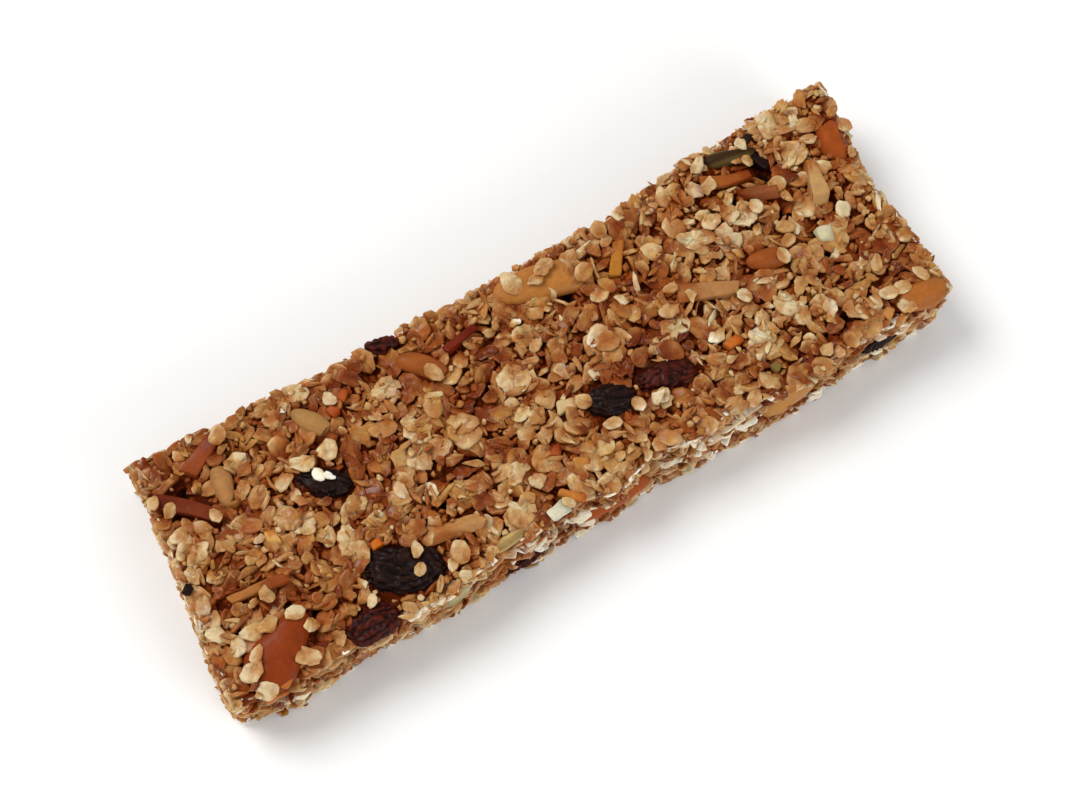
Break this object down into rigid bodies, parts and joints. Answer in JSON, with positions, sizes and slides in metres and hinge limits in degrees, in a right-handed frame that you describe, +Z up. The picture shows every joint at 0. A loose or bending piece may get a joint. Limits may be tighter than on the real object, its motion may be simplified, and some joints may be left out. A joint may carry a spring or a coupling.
{
  "type": "granola bar",
  "caption": "Baked granola bar: a flat rectangular slab of pressed oat flakes with raisins, almond pieces and pumpkin seeds set in its rough top and sides.",
  "frame": {"origin": "middle of the flat face that the bar rests on", "axes": "+X along the length, +Y across the width towards the back side, +Z up through the thickness"},
  "size_m": [0.119, 0.0398, 0.0138],
  "materials": {
    "oats": "honey-glazed toasted oat flakes, rough, slightly glossy",
    "raisin": "dark wrinkled dried fruit, satin",
    "almond_pale": "pale cut nut, smooth, satin",
    "almond_toasted": "toasted orange-brown cut nut, satin",
    "almond_skin": "red-brown nut skin, satin",
    "pumpkin_seed": "grey-green hulled seed, satin"
  },
  "bodies": {
    "root": {"oat_slab": "oats", "raisin_1": "raisin", "raisin_2": "raisin", "raisin_3": "raisin", "raisin_4": "raisin", "raisin_5": "raisin", "raisin_6": "raisin", "raisin_7": "raisin", "raisin_8": "raisin", "almond_1": "almond_pale", "almond_2": "almond_toasted", "almond_3": "almond_toasted", "almond_4": "almond_skin", "almond_5": "almond_toasted", "almond_6": "almond_skin", "almond_7": "almond_pale", "almond_8": "almond_skin", "almond_9": "almond_toasted", "almond_10": "almond_pale", "almond_11": "almond_toasted", "almond_12": "almond_pale", "almond_13": "almond_pale", "almond_14": "almond_toasted", "almond_15": "almond_toasted", "almond_16": "almond_toasted", "almond_17": "almond_pale", "almond_18": "almond_toasted", "almond_19": "almond_toasted", "almond_20": "almond_pale", "pumpkin_seed_1": "pumpkin_seed", "pumpkin_seed_2": "pumpkin_seed", "pumpkin_seed_3": "pumpkin_seed"}
  },
  "joints": []
}
